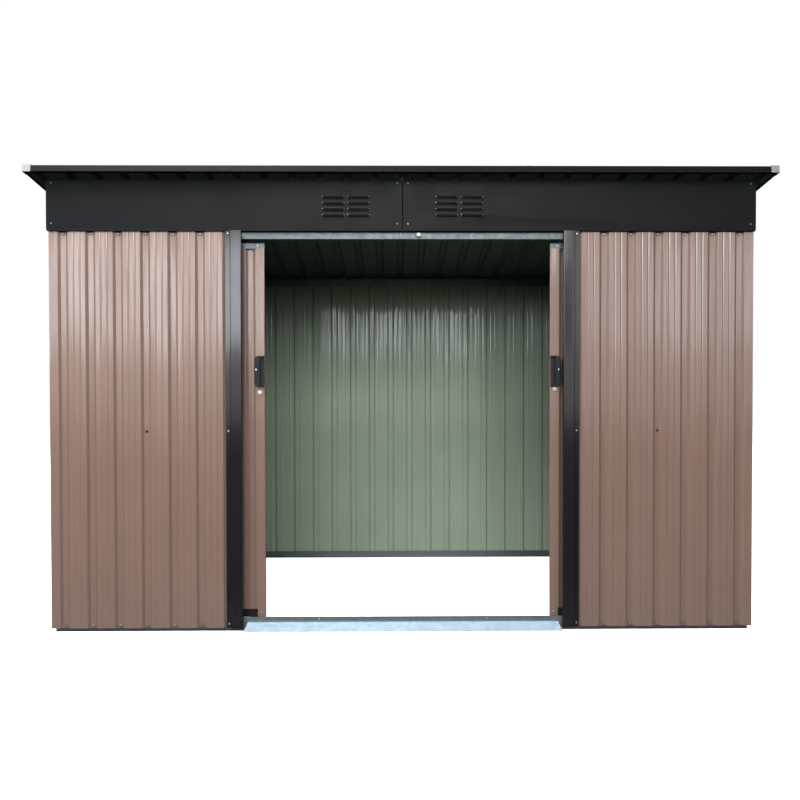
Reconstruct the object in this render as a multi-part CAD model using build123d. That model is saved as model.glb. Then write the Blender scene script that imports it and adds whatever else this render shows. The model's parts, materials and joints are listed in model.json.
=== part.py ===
from build123d import *
import os
from math import atan2, cos, degrees, hypot, sin, tan

# Metal storage shed with a single-slope roof and two sliding doors
# Millimetres: x runs along the front, the front faces -y, z is up from the ground

# Overall sizes
wall_width = 2650.0
wall_depth = 1190.0
sheet_top = 1522.0
sheet_bottom = 15.0
side_overhang = 60.0
front_overhang = 70.0
back_overhang = 40.0
fascia_height = 190.0
fascia_lap = 12.0

# Sheet metal
sheet_thickness = 0.8
rail_thickness = 1.2

# Ribbed sheet: grooves run up the walls, and the same form gives ribs on the roof
rib_pitch = 102.5
groove_floor = 20.0
groove_flank = 9.0
groove_depth = 9.0
swage_width = 7.0
swage_depth = 1.2
swage_spacing = 24.0

# Wall sheets
corner_margin = 51.5
front_wall_lap = 26.0

# Floor frame
base_rail_height = 30.0
base_rail_foot = 26.0
track_front_height = 53.0
track_rear_height = 25.0
track_inside_depth = 38.0
sill_height = 35.0
sill_foot_reach = 17.0
sill_nose_reach = 8.0
sill_end_slant = 18.0
sill_clearance = 0.5

# Corner posts and braces
corner_post_leg = 55.0
brace_height = 758.0
brace_web = 30.0
brace_foot = 13.0

# Door posts
doorway_width = 1208.0
post_face = 43.0
post_flange = 19.0
post_stand_off = 11.0

# Top rails and upper door track
top_rail_web = 40.0
top_rail_flange = 24.0
upper_track_drop = 30.0
upper_track_lap = 40.0
upper_track_step_gap = 4.0
track_flange_depth = 22.4
track_lip_height = 16.0
track_end_gap = 2.2

# Fascia and gables
fascia_return = 20.0
fascia_flange = 20.0
gable_flange = 20.0
gable_flange_rear_gap = 20.0
seam_gap = 4.0
fascia_corner = 8.0
gable_stand_off = 6.0

# Louvres pressed into the fascia
louvre_length = 78.0
louvre_pitch = 22.5
louvre_column_pitch = 95.0
louvre_group_offset = 213.0
louvre_rise = 54.0
louvre_rows = 4
louvre_slot = 7.0
louvre_reach = 6.0
louvre_hood = 13.0
louvre_end_cheek = 1.0

# Roof edge trim and plastic corner caps
trim_height = 26.0
trim_top_flange = 20.0
trim_bottom_flange = 12.0
trim_joint_gap = 1.5
cap_thickness = 1.5
cap_length = 30.0

# Sliding doors
leaf_lap = 16.0
leaf_bottom = 46.0
leaf_top_gap = 8.0
leaf_front_setback = 32.0
stile_width = 30.0
leaf_top_rail = 22.0
leaf_bottom_rail = 31.0
left_leaf_show = 79.0
right_leaf_show = 41.0

# Door hangers and floor guides
running_gap = 5.0
seat_gap = 0.3
hanger_width = 44.0
hanger_thickness = 3.0
hanger_inset = 95.0
hanger_tail = 17.0
hook_drop = 8.0
guide_width = 42.0
guide_bottom = 12.0
guide_inset = 40.0

# Door handles
handle_width = 36.0
handle_height = 118.0
handle_depth = 14.0
handle_base = 925.0
handle_corner = 11.0
handle_edge_round = 3.0
handle_edge_inset = 1.0
handle_floor = 3.0
handle_grip_wall = 4.0
handle_finger_band = 16.0
handle_undercut = 10.0
handle_end_rim = 6.0

# One overrun serves every cut
overrun = 5.0

# Places worked out from the sizes
roof_width = wall_width + 2 * side_overhang
roof_depth = front_overhang + wall_depth + back_overhang
fascia_bottom = sheet_top - fascia_lap
fascia_top = fascia_bottom + fascia_height
upper_track_bottom = fascia_bottom - upper_track_drop
leaf_top = upper_track_bottom - leaf_top_gap
front_y = front_overhang - roof_depth / 2
back_y = front_y + wall_depth
side_x = wall_width / 2
sheet_depth = groove_depth + sheet_thickness
fascia_y = front_y - rail_thickness
gable_x = side_x + gable_stand_off
roof_angle = atan2(fascia_top - sheet_top, back_y - fascia_y)
post_x = doorway_width / 2
front_wall_inner_edge = post_x + front_wall_lap
leaf_width = post_x + leaf_lap
left_leaf_edge = post_x - left_leaf_show
right_leaf_edge = post_x - right_leaf_show
rail_front_y = front_y + sheet_depth
rail_back_y = back_y - sheet_depth
rail_side_x = side_x - sheet_depth
post_side_x = rail_side_x - rail_thickness
track_back_y = rail_front_y + track_inside_depth + rail_thickness
leaf_y = front_y + leaf_front_setback
lip_y = rail_front_y + track_flange_depth


def roof_under(y):
    """Height of the roof's underside above a place y."""
    return fascia_top - (y - fascia_y) * tan(roof_angle)


def folded(line, thickness):
    """Closed outline of a folded strip that lies to the left of a drawn line."""
    normals = []
    for (x0, y0), (x1, y1) in zip(line, line[1:]):
        length = hypot(x1 - x0, y1 - y0)
        normals.append(((y0 - y1) / length, (x1 - x0) / length))
    far_side = []
    for i, (x, y) in enumerate(line):
        before = normals[max(i - 1, 0)]
        after = normals[min(i, len(normals) - 1)]
        mitre = thickness / (1 + before[0] * after[0] + before[1] * after[1])
        far_side.append((x + mitre * (before[0] + after[0]), y + mitre * (before[1] + after[1])))
    return line + far_side[::-1]


def prism(outline, plane, length):
    """Solid of a closed outline, drawn on a plane and pushed along the plane's normal."""
    twice_area = sum(a[0] * b[1] - b[0] * a[1] for a, b in zip(outline, outline[1:] + outline[:1]))
    corners = outline if twice_area > 0 else outline[::-1]
    face = make_face(Polyline(*corners, close=True))
    return extrude(plane * face, amount=length, dir=plane.z_dir)


def box(x0, x1, y0, y1, z0, z1):
    """Block between two corners."""
    return Pos(x0, y0, z0) * Box(x1 - x0, y1 - y0, z1 - z0, align=(Align.MIN, Align.MIN, Align.MIN))


def group(shapes):
    """Several solids that share one name."""
    return Compound([solid for shape in shapes for solid in shape.solids()])


def along_x(outline, x0, x1):
    """Push a (y, z) outline along x."""
    return prism(outline, Plane(origin=(x0, 0, 0), x_dir=(0, 1, 0), z_dir=(1, 0, 0)), x1 - x0)


def along_z(outline, z0, z1):
    """Push an (x, y) outline up z."""
    return prism(outline, Plane(origin=(0, 0, z0), x_dir=(1, 0, 0), z_dir=(0, 0, 1)), z1 - z0)


def mirrored(outline):
    """The same outline on the other side of x = 0."""
    return [(-x, y) for x, y in outline]


def groove_places(low, high, first):
    """Groove centres between two sheet edges, on the rib pitch through a first one."""
    margin = groove_floor / 2 + groove_flank
    steps = range(-int((first - low) / rib_pitch) - 1, int((high - first) / rib_pitch) + 2)
    places = [first + k * rib_pitch for k in steps]
    return [u for u in places if low + margin < u < high - margin]


def ribbed_outline(low, high, places):
    """Outline of a ribbed sheet: flats at depth 0, grooves and shallow swages going deeper."""
    half_floor = groove_floor / 2
    line = [(low, 0)]
    for i, u in enumerate(places):
        line.append((u - half_floor - groove_flank, 0))
        line.append((u - half_floor, groove_depth))
        line.append((u + half_floor, groove_depth))
        line.append((u + half_floor + groove_flank, 0))
        if i + 1 < len(places):
            middle = (u + places[i + 1]) / 2
            for swage in (middle - swage_spacing / 2, middle + swage_spacing / 2):
                line.append((swage - swage_width / 2, 0))
                line.append((swage, swage_depth))
                line.append((swage + swage_width / 2, 0))
    line.append((high, 0))
    return line + [(u, d + sheet_thickness) for u, d in reversed(line)]


def wall_sheet(low, high, first, origin, x_dir):
    """Upright ribbed sheet; its grooves sink to the left of x_dir, seen from above."""
    plane = Plane(origin=(*origin, sheet_bottom), x_dir=x_dir, z_dir=(0, 0, 1))
    outline = ribbed_outline(low, high, groove_places(low, high, first))
    return prism(outline, plane, sheet_top - sheet_bottom)


pieces = {}

# Front walls, one each side of the doorway
first_front_groove = side_x - corner_margin
front_origin = (0, front_y)
pieces["front_wall_left"] = wall_sheet(
    -side_x, -front_wall_inner_edge, -first_front_groove, front_origin, (1, 0, 0)
)
pieces["front_wall_right"] = wall_sheet(
    front_wall_inner_edge, side_x, first_front_groove, front_origin, (1, 0, 0)
)

# Side walls stand between the front and back sheets
half_side = wall_depth / 2 - sheet_thickness
middle_y = (front_y + back_y) / 2
pieces["left_wall"] = wall_sheet(-half_side, half_side, 0, (-side_x, middle_y), (0, -1, 0))
pieces["right_wall"] = wall_sheet(-half_side, half_side, 0, (side_x, middle_y), (0, 1, 0))

# Back wall of three sheets that meet on a flat
back_edge = int(side_x / rib_pitch / 3 + 1 / 2) * rib_pitch
back_spans = {
    "back_wall_right": (-side_x, -back_edge),
    "back_wall_center": (-back_edge, back_edge),
    "back_wall_left": (back_edge, side_x),
}
for name, (low, high) in back_spans.items():
    pieces[name] = wall_sheet(low, high, rib_pitch / 2, (0, back_y), (-1, 0, 0))

# Front floor channel: base rail under each wall, door track across the doorway
track_line = [
    (rail_front_y, track_front_height),
    (rail_front_y, 0),
    (track_back_y, 0),
    (track_back_y, track_rear_height),
]
track_outline = folded(track_line, rail_thickness)
track_end_x = post_side_x - rail_thickness
pieces["base_rail_front_left"] = along_x(track_outline, -track_end_x, -post_x)
pieces["lower_track"] = along_x(track_outline, -post_x, post_x)
pieces["base_rail_front_right"] = along_x(track_outline, post_x, track_end_x)

# Side and back base rails are angles with their foot inside
side_rail_line = [
    (-rail_side_x, base_rail_height),
    (-rail_side_x, 0),
    (base_rail_foot - rail_side_x, 0),
]
side_rail_outline = folded(side_rail_line, rail_thickness)
rail_plane = Plane(origin=(0, track_back_y, 0), x_dir=(-1, 0, 0), z_dir=(0, 1, 0))
side_rail_length = rail_back_y - base_rail_foot - track_back_y
pieces["base_rail_left"] = prism(mirrored(side_rail_outline), rail_plane, side_rail_length)
pieces["base_rail_right"] = prism(side_rail_outline, rail_plane, side_rail_length)
back_rail_line = [
    (rail_back_y - base_rail_foot, 0),
    (rail_back_y, 0),
    (rail_back_y, base_rail_height),
]
pieces["base_rail_back"] = along_x(folded(back_rail_line, rail_thickness), -rail_side_x, rail_side_x)

# Door sill: a folded ramp with slanted ends in front of the track
sill_outline = [
    (rail_front_y - sill_foot_reach, 0),
    (rail_front_y - sill_nose_reach, sill_height),
    (rail_front_y, sill_height),
    (rail_front_y, sill_height - rail_thickness),
    (rail_front_y - sill_nose_reach + rail_thickness, sill_height - rail_thickness),
    (rail_front_y - sill_foot_reach + rail_thickness, 0),
]
sill_half = post_x - sill_clearance
sill = along_x(sill_outline, -sill_half, sill_half)
slant = [
    (sill_half - sill_end_slant, sill_height + overrun),
    (sill_half + overrun, sill_height + overrun),
    (sill_half + overrun, 0),
    (sill_half, 0),
]
slant_plane = Plane(origin=(0, rail_front_y, 0), x_dir=(1, 0, 0), z_dir=(0, -1, 0))
for outline in (slant, mirrored(slant)):
    sill -= prism(outline, slant_plane, sill_foot_reach + overrun)
pieces["door_sill"] = sill

# Corner posts: angles inside the rails, standing on the floor frame
post_front_y = rail_front_y + rail_thickness
post_back_y = rail_back_y - rail_thickness
corner_front = [
    (-post_side_x, post_front_y + corner_post_leg),
    (-post_side_x, post_front_y),
    (corner_post_leg - post_side_x, post_front_y),
]
corner_back = [
    (corner_post_leg - post_side_x, post_back_y),
    (-post_side_x, post_back_y),
    (-post_side_x, post_back_y - corner_post_leg),
]
front_corner = folded(corner_front, rail_thickness)
back_corner = folded(corner_back, rail_thickness)
back_post_top = sheet_top - rail_thickness
pieces["corner_post_front_left"] = along_z(front_corner, rail_thickness, upper_track_bottom)
pieces["corner_post_front_right"] = along_z(mirrored(front_corner), rail_thickness, upper_track_bottom)
pieces["corner_post_back_left"] = along_z(back_corner, rail_thickness, back_post_top)
pieces["corner_post_back_right"] = along_z(mirrored(back_corner), rail_thickness, back_post_top)

# Front braces: angles across the inside of the front walls at mid height
brace_line = [
    (rail_front_y, brace_height + brace_web / 2),
    (rail_front_y, brace_height - brace_web / 2),
    (rail_front_y + brace_foot, brace_height - brace_web / 2),
]
brace_outline = folded(brace_line, rail_thickness)
brace_outer_x = post_side_x - corner_post_leg
pieces["front_brace_left"] = along_x(brace_outline, -brace_outer_x, -post_x)
pieces["front_brace_right"] = along_x(brace_outline, post_x, brace_outer_x)

# Door posts: a raised face, a flange over the wall's first groove and a return to the tracks
post_line = [
    (post_x + post_face + post_flange, front_y),
    (post_x + post_face, front_y),
    (post_x + post_face, front_y - post_stand_off),
    (post_x, front_y - post_stand_off),
    (post_x, rail_front_y),
]
post_outline = folded(post_line[::-1], rail_thickness)
pieces["door_post_right"] = along_z(post_outline, sheet_bottom, fascia_bottom)
pieces["door_post_left"] = along_z(mirrored(post_outline), sheet_bottom, fascia_bottom)

# Upper track: a joggled web, a floor and an upturned lip that carries the doors
upper_line = [
    (lip_y, upper_track_bottom + track_lip_height),
    (lip_y, upper_track_bottom),
    (rail_front_y, upper_track_bottom),
    (rail_front_y, sheet_top + upper_track_step_gap),
    (front_y, sheet_top + upper_track_step_gap),
    (front_y, fascia_bottom + upper_track_lap),
]
upper_track_x = rail_side_x - track_end_gap
upper_outline = folded(upper_line[::-1], rail_thickness)
pieces["upper_track"] = along_x(upper_outline, -upper_track_x, upper_track_x)

# Top rails: angles inside the side and back sheets, flush with the sheet tops
top_rail_line = [
    (top_rail_flange - rail_side_x, sheet_top),
    (-rail_side_x, sheet_top),
    (-rail_side_x, sheet_top - top_rail_web),
]
top_rail_outline = folded(top_rail_line, rail_thickness)
top_rail_plane = Plane(origin=(0, post_front_y, 0), x_dir=(-1, 0, 0), z_dir=(0, 1, 0))
top_rail_length = rail_back_y - top_rail_flange - post_front_y
pieces["top_rail_left"] = prism(mirrored(top_rail_outline), top_rail_plane, top_rail_length)
pieces["top_rail_right"] = prism(top_rail_outline, top_rail_plane, top_rail_length)
back_top_line = [
    (rail_back_y, sheet_top - top_rail_web),
    (rail_back_y, sheet_top),
    (rail_back_y - top_rail_flange, sheet_top),
]
pieces["top_rail_back"] = along_x(folded(back_top_line, rail_thickness), -rail_side_x, rail_side_x)


def louvre(x, z):
    """Pressed hood with closed ends over a slot, as (hood, slot)."""
    lip = (fascia_y - louvre_reach, z)
    crown = (fascia_y - louvre_reach, z + louvre_hood / 2)
    root = (front_y, z + louvre_hood)
    half = louvre_length / 2
    hood = along_x(folded([root, crown, lip], -rail_thickness), x - half, x + half)
    cheek = [(front_y, z), lip, crown, root]
    for end in (x - half, x + half - louvre_end_cheek):
        hood += along_x(cheek, end, end + louvre_end_cheek)
    slot = box(
        x - half + louvre_end_cheek,
        x + half - louvre_end_cheek,
        fascia_y - louvre_reach - overrun,
        front_y + overrun,
        z,
        z + louvre_slot,
    )
    return hood, slot


def fascia(side):
    """Half of the front fascia, side -1 or 1, with its returns and louvres."""
    outer_x = gable_x + 2 * rail_thickness
    inner_x = seam_gap / 2
    top = roof_under(front_y)
    face = [(inner_x, fascia_bottom), (outer_x, fascia_bottom), (outer_x, top), (inner_x, top)]
    plane = Plane(origin=(0, front_y, 0), x_dir=(1, 0, 0), z_dir=(0, -1, 0))
    panel = prism(face if side > 0 else mirrored(face), plane, rail_thickness)
    lower_edges = panel.edges().filter_by(Axis.Y).group_by(Axis.Z)[0]
    panel = fillet(lower_edges.sort_by(lambda e: abs(e.center().X))[-1], fascia_corner)
    flange = [
        (fascia_y, roof_under(fascia_y)),
        (front_y + fascia_flange, roof_under(front_y + fascia_flange)),
        (front_y + fascia_flange, roof_under(front_y + fascia_flange) - rail_thickness),
        (fascia_y, roof_under(fascia_y) - rail_thickness),
    ]
    panel += along_x(flange, *sorted((side * inner_x, side * side_x)))
    wing = [
        (fascia_y, fascia_bottom + fascia_corner),
        (front_y + fascia_return, fascia_bottom + fascia_corner),
        (front_y + fascia_return, roof_under(front_y + fascia_return)),
        (fascia_y, fascia_top),
    ]
    panel += along_x(wing, *sorted((side * (gable_x + rail_thickness), side * outer_x)))
    hoods = []
    louvre_low = fascia_bottom + louvre_rise
    for column in (-louvre_column_pitch / 2, louvre_column_pitch / 2):
        for row in range(louvre_rows):
            hood, slot = louvre(side * louvre_group_offset + column, louvre_low + row * louvre_pitch)
            panel -= slot
            hoods.append(hood)
    return panel.fuse(*hoods)


pieces["fascia_left"] = fascia(-1)
pieces["fascia_right"] = fascia(1)


def gable(side):
    """Sloped side panel over a wall, side -1 or 1, with a roof flange and a foot against the wall."""
    plate = [
        (front_y, fascia_bottom),
        (back_y, fascia_bottom),
        (back_y, roof_under(back_y)),
        (front_y, roof_under(front_y)),
    ]
    outer_x = gable_x + rail_thickness
    panel = along_x(plate, *sorted((side * gable_x, side * outer_x)))
    start = front_y + fascia_flange + rail_thickness
    stop = back_y - gable_flange_rear_gap
    flange = [
        (start, roof_under(start)),
        (stop, roof_under(stop)),
        (stop, roof_under(stop) - rail_thickness),
        (start, roof_under(start) - rail_thickness),
    ]
    panel += along_x(flange, *sorted((side * (side_x - gable_flange), side * outer_x)))
    foot_ends = sorted((side * side_x, side * outer_x))
    return panel + box(*foot_ends, front_y, back_y, fascia_bottom, fascia_bottom + rail_thickness)


pieces["gable_left"] = gable(-1)
pieces["gable_right"] = gable(1)

# Roof, drawn level about its own middle with its underside at 0, then tilted into place
trim_low = -rail_thickness
trim_high = trim_height - rail_thickness
cap_high = trim_high + cap_thickness
roof_length = (roof_depth - (cap_high - trim_low) * sin(roof_angle)) / cos(roof_angle)
roof_y = -(cap_high + trim_low) / 2 * sin(roof_angle)
roof_place = Pos(0, roof_y, roof_under(roof_y)) * Rot(-degrees(roof_angle), 0, 0)
trim_x = roof_width / 2 - cap_thickness
trim_y = roof_length / 2 - cap_thickness
roof_sheet_x = trim_x - rail_thickness
roof_sheet_y = trim_y - rail_thickness
roof_edge = int(trim_x / rib_pitch / 3 + 1 / 2) * rib_pitch + rib_pitch / 2
roof_spans = {
    "roof_sheet_left": (-roof_sheet_x, -roof_edge),
    "roof_sheet_center": (-roof_edge, roof_edge),
    "roof_sheet_right": (roof_edge, roof_sheet_x),
}
for name, (low, high) in roof_spans.items():
    plane = Plane(origin=(0, roof_sheet_y, 0), x_dir=(1, 0, 0), z_dir=(0, -1, 0))
    outline = ribbed_outline(low, high, groove_places(low, high, 0))
    pieces[name] = roof_place * prism(outline, plane, 2 * roof_sheet_y)


def trim_outline(edge):
    """Section of the edge trim as (across, up): foot under the sheet, face and top flange."""
    line = [
        (edge + trim_bottom_flange, trim_low),
        (edge, trim_low),
        (edge, trim_high),
        (edge + trim_top_flange, trim_high),
    ]
    return folded(line[::-1], rail_thickness)


front_trim = trim_outline(-trim_y)
joint = trim_joint_gap / 2
front_spans = [
    (-trim_x, -roof_edge - joint),
    (joint - roof_edge, roof_edge - joint),
    (roof_edge + joint, trim_x),
]
pieces["roof_trim_front"] = roof_place * group([along_x(front_trim, *span) for span in front_spans])
pieces["roof_trim_back"] = roof_place * along_x([(-y, z) for y, z in front_trim], -trim_x, trim_x)
side_trim_y = trim_y - trim_top_flange
side_trim_plane = Plane(origin=(0, side_trim_y, 0), x_dir=(1, 0, 0), z_dir=(0, -1, 0))
side_trim = trim_outline(-trim_x)
pieces["roof_trim_left"] = roof_place * prism(side_trim, side_trim_plane, 2 * side_trim_y)
pieces["roof_trim_right"] = roof_place * prism(mirrored(side_trim), side_trim_plane, 2 * side_trim_y)

# Plastic caps over the four roof corners
cap_x = roof_width / 2
cap_y = roof_length / 2
cap = box(cap_x - cap_length, cap_x, cap_y - cap_length, cap_y, trim_low, cap_high)
cap -= box(
    cap_x - cap_length - overrun,
    trim_x,
    cap_y - cap_length - overrun,
    trim_y,
    trim_low - overrun,
    trim_high,
)
caps = [cap, mirror(cap, Plane.YZ), mirror(cap, Plane.XZ), mirror(mirror(cap, Plane.YZ), Plane.XZ)]
pieces["roof_corner_caps"] = roof_place * group(caps)


def door(side, edge):
    """Pieces of one leaf; side -1 or 1, with its meeting edge at a distance from the centre."""
    low = edge
    high = edge + leaf_width
    back = leaf_y + sheet_depth
    stile = [
        (low + stile_width, leaf_y - rail_thickness),
        (low, leaf_y - rail_thickness),
        (low, back + rail_thickness),
        (low + stile_width, back + rail_thickness),
    ]
    stile_outline = folded(stile[::-1], rail_thickness)
    far_outline = [(low + high - x, y) for x, y in stile_outline]
    first = (low + high + rib_pitch) / 2
    sheet_low = low + rail_thickness
    sheet_high = high - rail_thickness
    sheet = ribbed_outline(sheet_low, sheet_high, groove_places(sheet_low, sheet_high, first))
    sheet_outline = [(u, leaf_y + d) for u, d in sheet]
    lower_rail = [
        (leaf_y - rail_thickness, leaf_bottom + leaf_bottom_rail),
        (leaf_y - rail_thickness, leaf_bottom),
        (back + rail_thickness, leaf_bottom),
        (back + rail_thickness, leaf_bottom + leaf_bottom_rail),
    ]
    upper_rail = [
        (back + rail_thickness, leaf_top - leaf_top_rail),
        (back + rail_thickness, leaf_top),
        (leaf_y - rail_thickness, leaf_top),
        (leaf_y - rail_thickness, leaf_top - leaf_top_rail),
    ]
    turn = (lambda outline: outline) if side > 0 else mirrored
    lower_ends = sorted((side * (low + stile_width), side * (high - stile_width)))
    upper_ends = sorted((side * low, side * high))
    rails = [
        along_x(folded(lower_rail, rail_thickness), *lower_ends),
        along_x(folded(upper_rail, rail_thickness), *upper_ends),
    ]
    stile_top = leaf_top - leaf_top_rail
    hook_line = [
        (lip_y - rail_thickness - running_gap, upper_track_bottom + track_lip_height - hook_drop),
        (lip_y - rail_thickness - running_gap, upper_track_bottom + track_lip_height + seat_gap),
        (back + rail_thickness, upper_track_bottom + track_lip_height + seat_gap),
        (back + rail_thickness, leaf_top - hanger_tail),
    ]
    hook = folded(hook_line, hanger_thickness)
    guide_front = rail_front_y + rail_thickness + running_gap
    guide_back = track_back_y - rail_thickness - running_gap
    hangers = []
    guides = []
    for x in (low + hanger_inset, high - hanger_inset):
        hangers.append(along_x(hook, side * x - hanger_width / 2, side * x + hanger_width / 2))
    for x in (low + guide_inset, high - guide_inset):
        x0 = side * x - guide_width / 2
        guides.append(box(x0, x0 + guide_width, guide_front, guide_back, guide_bottom, leaf_bottom))
    return {
        "panel": along_z(turn(sheet_outline), leaf_bottom + rail_thickness, leaf_top - rail_thickness),
        "stiles": group(along_z(turn(o), leaf_bottom, stile_top) for o in (stile_outline, far_outline)),
        "rails": group(rails),
        "hangers": group(hangers),
        "guides": group(guides),
        "handle": handle(side, low + handle_edge_inset),
    }


def handle(side, edge):
    """Pull with cut corners: a grip bar over a finger hollow that is open to the meeting edge."""
    back = leaf_y - rail_thickness
    front = back - handle_depth
    plane = Plane(origin=(edge, back, handle_base), x_dir=(1, 0, 0), z_dir=(0, -1, 0))
    outline = Pos(handle_width / 2, handle_height / 2) * Rectangle(handle_width, handle_height)
    outline = chamfer(outline.vertices().group_by(Axis.X)[-1], handle_corner)
    body = extrude(plane * outline, amount=handle_depth, dir=plane.z_dir)
    body = fillet(body.edges().group_by(Axis.Y)[0], handle_edge_round)
    low = handle_base + handle_end_rim
    high = handle_base + handle_height - handle_end_rim
    grip = edge + handle_finger_band
    body -= box(edge - overrun, grip, front - overrun, back - handle_floor, low, high)
    body -= box(edge, grip + handle_undercut, front + handle_grip_wall, back - handle_floor, low, high)
    return body if side > 0 else mirror(body, Plane.YZ)


for side, name, edge in ((-1, "left_door", left_leaf_edge), (1, "right_door", right_leaf_edge)):
    for piece, shape in door(side, edge).items():
        pieces[f"{name}_{piece}"] = shape

os.makedirs("parts", exist_ok=True)
for name, shape in pieces.items():
    export_step(shape, f"parts/{name}.step")
print(len(pieces), "pieces written")
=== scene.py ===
# %% [markdown]
# Metal storage shed with two sliding doors
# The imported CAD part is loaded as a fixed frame. It already has every piece at its real size, so this lesson
# gives each piece its finish, rounds the bends of the folded sheet metal, and adds screws and door furniture.

# %% Load the frame
import bpy
import bmesh
import json
import math
from mathutils import Matrix, Vector

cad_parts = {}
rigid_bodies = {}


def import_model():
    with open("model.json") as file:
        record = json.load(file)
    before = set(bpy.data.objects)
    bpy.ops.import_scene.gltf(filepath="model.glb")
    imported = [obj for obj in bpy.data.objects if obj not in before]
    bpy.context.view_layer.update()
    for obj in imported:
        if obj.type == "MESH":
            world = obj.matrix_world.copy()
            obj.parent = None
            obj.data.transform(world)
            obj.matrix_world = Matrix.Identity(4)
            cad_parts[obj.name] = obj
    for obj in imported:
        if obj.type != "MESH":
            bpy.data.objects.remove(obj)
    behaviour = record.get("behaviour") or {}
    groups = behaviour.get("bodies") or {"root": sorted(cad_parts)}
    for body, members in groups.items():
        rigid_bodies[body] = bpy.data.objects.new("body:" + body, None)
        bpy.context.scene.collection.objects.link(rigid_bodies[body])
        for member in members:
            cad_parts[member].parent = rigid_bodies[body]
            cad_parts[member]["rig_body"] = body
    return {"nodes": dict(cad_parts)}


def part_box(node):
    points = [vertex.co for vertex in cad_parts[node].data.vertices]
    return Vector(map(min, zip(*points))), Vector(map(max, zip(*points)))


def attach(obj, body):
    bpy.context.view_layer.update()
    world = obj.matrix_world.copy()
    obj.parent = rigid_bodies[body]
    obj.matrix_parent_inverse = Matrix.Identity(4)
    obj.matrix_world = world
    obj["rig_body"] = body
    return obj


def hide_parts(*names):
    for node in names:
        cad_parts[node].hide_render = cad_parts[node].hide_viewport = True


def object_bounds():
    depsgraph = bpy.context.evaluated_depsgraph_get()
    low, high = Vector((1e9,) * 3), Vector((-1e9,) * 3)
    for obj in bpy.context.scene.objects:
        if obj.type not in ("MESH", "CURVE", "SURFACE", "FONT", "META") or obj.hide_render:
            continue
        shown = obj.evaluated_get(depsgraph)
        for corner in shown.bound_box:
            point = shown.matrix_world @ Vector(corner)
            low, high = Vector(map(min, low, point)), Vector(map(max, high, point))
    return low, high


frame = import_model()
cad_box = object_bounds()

nodes = frame["nodes"]
MM = 0.001
print("loaded", len(nodes), "pieces; box", [tuple(round(x, 3) for x in corner) for corner in cad_box])

# %% [markdown]
# Two helpers serve every finish. Paint makers quote colours as sRGB hex values, while Blender's shaders work in
# linear light, so one function converts. The other adds a shader node, sets it up and links it in one call,
# which keeps each material short enough to read as a recipe.

# %% Colour and node helpers
def linear(hex_colour):
    """Linear RGBA of an sRGB hex colour such as "#A08678"."""
    channels = [int(hex_colour[i:i + 2], 16) / 255 for i in (1, 3, 5)]
    return [c / 12.92 if c <= 0.04045 else ((c + 0.055) / 1.055) ** 2.4 for c in channels] + [1.0]


def add_node(tree, kind, inputs=(), **settings):
    """New node of a kind, with settings as attributes and inputs as (socket, value or link) pairs."""
    node = tree.nodes.new(kind)
    for name, value in settings.items():
        setattr(node, name, value)
    for socket, value in inputs:
        if isinstance(value, bpy.types.NodeSocket):
            tree.links.new(value, node.inputs[socket])
        else:
            node.inputs[socket].default_value = value
    return node


def new_material(name, **shader_values):
    """Empty principled material; returns the material, its tree and its shader."""
    material = bpy.data.materials.new(name)
    material.use_nodes = True
    shader = material.node_tree.nodes["Principled BSDF"]
    for socket, value in shader_values.items():
        shader.inputs[socket.replace("_", " ")].default_value = value
    return material, material.node_tree, shader


def noise_band(tree, size_mm, low, high, stretch=(1, 1, 1), detail=3.0):
    """Noise whose grains are size_mm across, longer along an axis by stretch, mapped from low to high."""
    place = add_node(tree, "ShaderNodeTexCoord")
    scale = [1 / (size_mm * MM * s) for s in stretch]
    mapped = add_node(tree, "ShaderNodeMapping", [("Vector", place.outputs["Object"]), ("Scale", scale)])
    noise = add_node(
        tree, "ShaderNodeTexNoise",
        [("Vector", mapped.outputs["Vector"]), ("Scale", 1.0), ("Detail", detail)],
    )
    band = add_node(
        tree, "ShaderNodeMapRange",
        [("Value", noise.outputs["Fac"]), ("From Min", 0.3), ("From Max", 0.7), ("To Min", low), ("To Max", high)],
    )
    return band.outputs["Result"]


def mix_colours(tree, factor, first, second):
    """Colour between two hex colours or links by a factor link."""
    pair = [c if isinstance(c, bpy.types.NodeSocket) else linear(c) for c in (first, second)]
    node = add_node(tree, "ShaderNodeMix", [(0, factor), (6, pair[0]), (7, pair[1])], data_type="RGBA")
    return node.outputs[2]


print("helpers ready")

# %% [markdown]
# The walls are roll-formed steel with a baked polyester paint, taupe outside and a grey-green backing coat inside.
# Baked paint is glossy, but rolled sheet is never flat: it has shallow waves about two fingers wide that run the
# whole height. They break a reflection into upright streaks whose ends stand at different heights. Painting the
# streaks would fix them in place, so here a bump gives the waves and a slow lean of the surface gives the ends.

# %% Painted sheet steel
DRIFT_MM, GLOSS_PATCH_MM, DUST_PATCH_MM, DUST_HEIGHT = 260, 90, 35, 0.22
# Orange peel is about a millimetre across; it is drawn at 6 mm so that the render can show it
PEEL_MM = 6


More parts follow.
